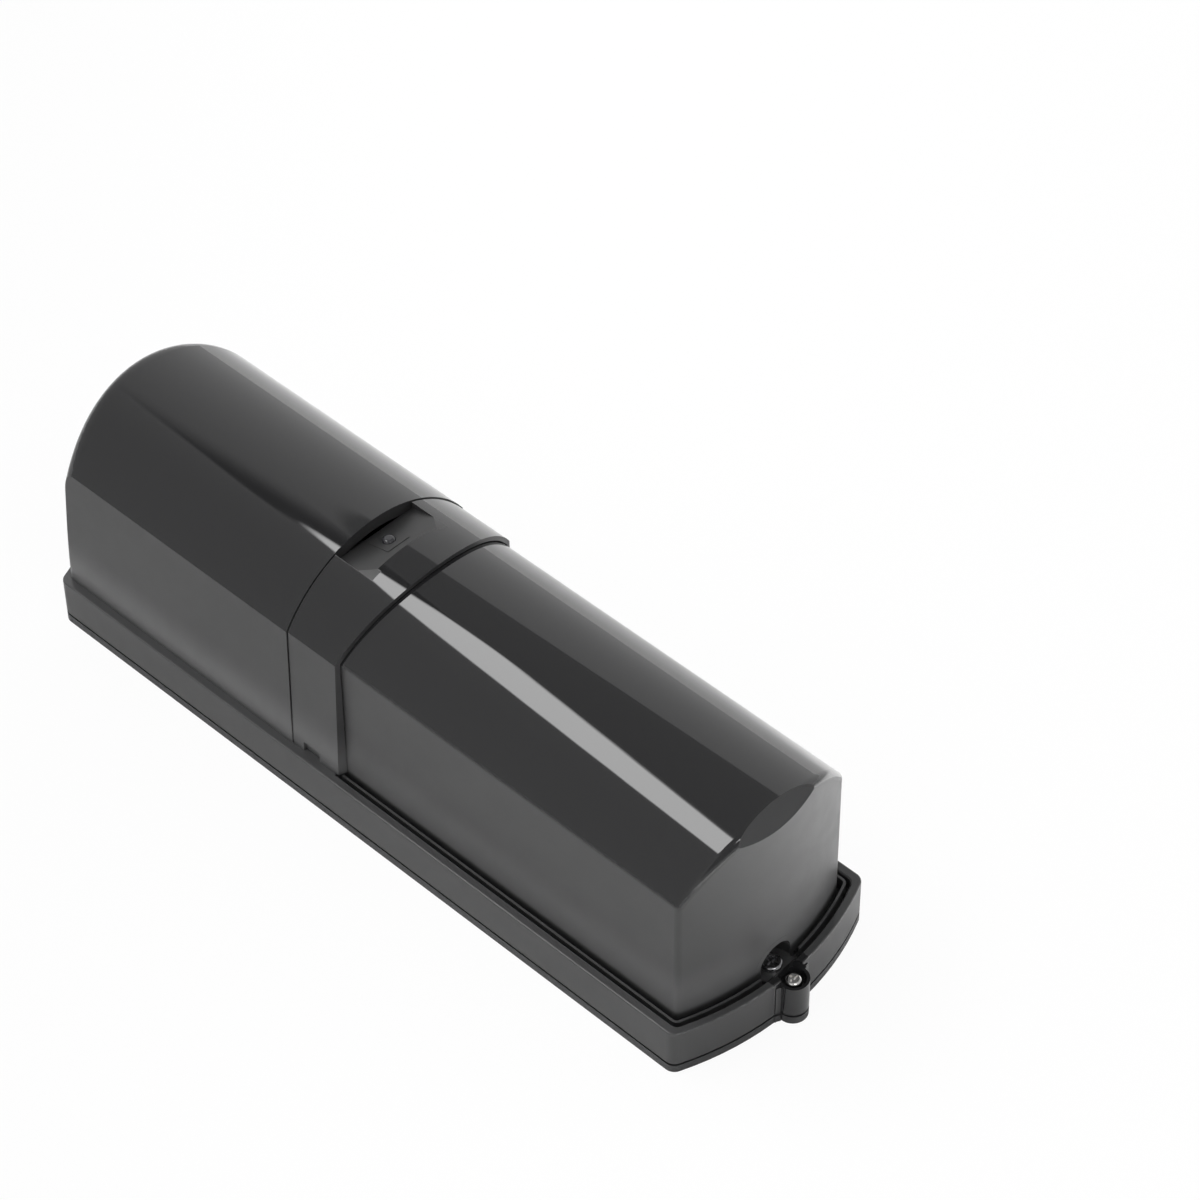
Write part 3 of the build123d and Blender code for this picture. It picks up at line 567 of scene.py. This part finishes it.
@dataclass
class Studio:
    """White floor, white surround, two softboxes over the part and the dimmer ceiling between them.

    Places are metres along the camera's level axes, right of the part's origin or away from the camera.
    """

    floor_half: float = 4.0
    floor_white: float = 0.96
    # Painted shade: the grey of the floor's left part, darker than the rest.
    floor_left_painted_shade: float = 0.52
    floor_shade: Span = Span(-0.32, 0.08)
    floor_glow: float = 0.93
    sheen_beside: float = 1.55
    beside_right: Span = Span(0.08, 0.22)
    beside_end: Span = Span(0.24, 0.4)
    beside_away: Span = Span(0.05, 0.2)
    sheen_behind: float = 0.24
    behind_away: Span = Span(0.08, 0.25)
    surround: float = 1.0
    surround_light: float = 1.4
    surround_left: float = 0.6
    surround_shade: Span = Span(-0.75, 0.1)
    ceiling: float = 0.9
    ceiling_half: float = 3.0
    key: Softbox = Softbox(-0.512, -0.306, -0.25, 0.36, 7.4, lean=0.12)
    fill: Softbox = Softbox(0.2, 0.48, -0.72, -0.42, 6.0)
    gap_level: float = 0.42
    gap_turn: float = 0.5
    gap_slant: float = 0.6
    gap_side: Span = Span(-0.02, 0.01)
    gap_away: Span = Span(0.83, 0.87)
    rim_level: float = 0.16
    rim_start: Span = Span(0.3, 0.36)
    rim_away: Span = Span(0.4, 0.66)
    rim_left: Span = Span(-0.572, -0.512)
    rim_right: Span = Span(-0.316, -0.286)

    def build(self, camera: Camera) -> None:
        """Make the floor, the surround and the ceiling."""
        self._floor(camera)
        self._surround(camera)
        self._ceiling(camera)
        settings = bpy.context.scene.view_settings
        settings.view_transform = "Standard"

    def _floor(self, camera: Camera) -> None:
        """Floor that keeps a light shadow, looks white, and shines for gloss at its right and far parts;
        its colour is painted darker towards the left, a painted shade that shows mostly in reflections.
        """
        h = self.floor_half
        floor = card("floor", [Vector((x * h, y * h, 0)) for x, y in ((-1, -1), (1, -1), (1, 1), (-1, 1))])
        floor.visible_camera = True
        floor.visible_shadow = True
        material = bpy.data.materials.new("floor_paper")
        material.use_nodes = True
        bench = Bench(material.node_tree)
        grain = bench.noise(900.0, 3.0).step(0.2, 0.8, 0.985, 1.0)
        right, away = (bench.along(axis) for axis in camera.level_axes())
        # Painted shade: the floor's colour goes darker towards the left. This shows mostly in reflections
        # and in the light the floor sends back.
        unshaded_and_grain = self.floor_shade.rise(right) * grain
        paper_with_painted_shade = bench.mix(unshaded_and_grain, grey(self.floor_left_painted_shade), grey(self.floor_white))
        diffuse = bench.add("ShaderNodeBsdfDiffuse", inputs={"Color": paper_with_painted_shade})["BSDF"]
        white = self._emission(bench, 1.0)
        path = bench.add("ShaderNodeLightPath")
        eye = path["Is Camera Ray"]
        seen = eye * self.floor_glow
        shaded = bench.add("ShaderNodeMixShader", inputs={0: seen, 1: diffuse, 2: white})["Shader"]
        beside = self.beside_right.rise(right) * self.beside_end.fall(right) * self.beside_away.fall(away)
        behind = self.behind_away.rise(away)
        shine = beside * self.sheen_beside + behind * self.sheen_behind
        sheen = self._emission(bench, shine * path["Is Glossy Ray"] * (1 - eye))
        bench.surface(bench.add("ShaderNodeAddShader", inputs={0: shaded, 1: sheen})["Shader"])
        floor.data.materials.append(material)

    def _surround(self, camera: Camera) -> None:
        """World that is white to the eye, dims towards the left for gloss, and lights the floor."""
        world = bpy.data.worlds.new("surround")
        world.use_nodes = True
        bench = Bench(world.node_tree)
        path = bench.add("ShaderNodeLightPath")
        eye = path["Is Camera Ray"]
        gloss = path["Is Glossy Ray"].at_least(path["Is Transmission Ray"])
        side = bench.add("ShaderNodeVectorMath", {"operation": "DOT_PRODUCT"}, {
            0: bench.add("ShaderNodeTexCoord")["Generated"], 1: tuple(camera.level_axes()[0])})["Value"]
        shade = self.surround_shade
        shown = side.step(shade.start, shade.end, self.surround_left, self.surround)
        plain = (1 - eye.at_least(gloss)) * self.surround_light
        strength = eye * self.surround + gloss * (1 - eye) * shown + plain
        back = bench.add("ShaderNodeBackground", inputs={"Color": grey(1.0), "Strength": strength})
        bench.add("ShaderNodeOutputWorld", inputs={"Surface": back["Background"]})
        bpy.context.scene.world = world

    def _ceiling(self, camera: Camera) -> None:
        """Ceiling card with both softboxes, the dimmer gap right of the key and the dark rim behind it."""
        across, along = camera.level_axes()
        h = self.ceiling_half
        rise = Vector((0, 0, self.ceiling))
        obj = card("ceiling_card", [rise + across * (x * h) + along * (y * h)
                                    for x, y in ((-1, -1), (-1, 1), (1, 1), (1, -1))])
        material = bpy.data.materials.new("ceiling_card")
        material.use_nodes = True
        bench = Bench(material.node_tree)
        right, away = bench.along(across), bench.along(along)
        lit, filled = self.key.mask(right, away), self.fill.mask(right, away)
        gap_edge = (away - self.gap_turn).at_least(0) * self.gap_slant + self.key.right
        gap = self.gap_side.rise(right - gap_edge) * self.gap_away.fall(away)
        rim = self.rim_away.fall(away) * self.rim_start.rise(away) * self.rim_left.rise(
            right) * self.rim_right.fall(right)
        level = (1 - gap * (1 - self.gap_level)).at_most(1 - rim * (1 - self.rim_level))
        strength = (lit * self.key.power + level * (1 - lit)) * (1 - filled) + filled * self.fill.power
        light = self._emission(bench, strength)
        clear = bench.add("ShaderNodeBsdfTransparent")["BSDF"]
        shown = lit.at_least(gap.at_least(rim)).at_least(filled)
        bench.surface(bench.add("ShaderNodeMixShader", inputs={0: shown, 1: clear, 2: light})["Shader"])
        obj.data.materials.append(material)

    @staticmethod
    def _emission(bench: Bench, strength: Any) -> Signal:
        """White light of a strength."""
        inputs = {"Color": grey(1.0), "Strength": strength}
        return bench.add("ShaderNodeEmission", inputs=inputs)["Emission"]


def main() -> None:
    """Build everything in order."""
    logging.basicConfig(level=logging.INFO, format="%(name)s: %(message)s")
    camera = Camera()
    camera.build()
    Studio().build(camera)
    Dresser().dress_nodes()


if __name__ == "__main__":
    main()
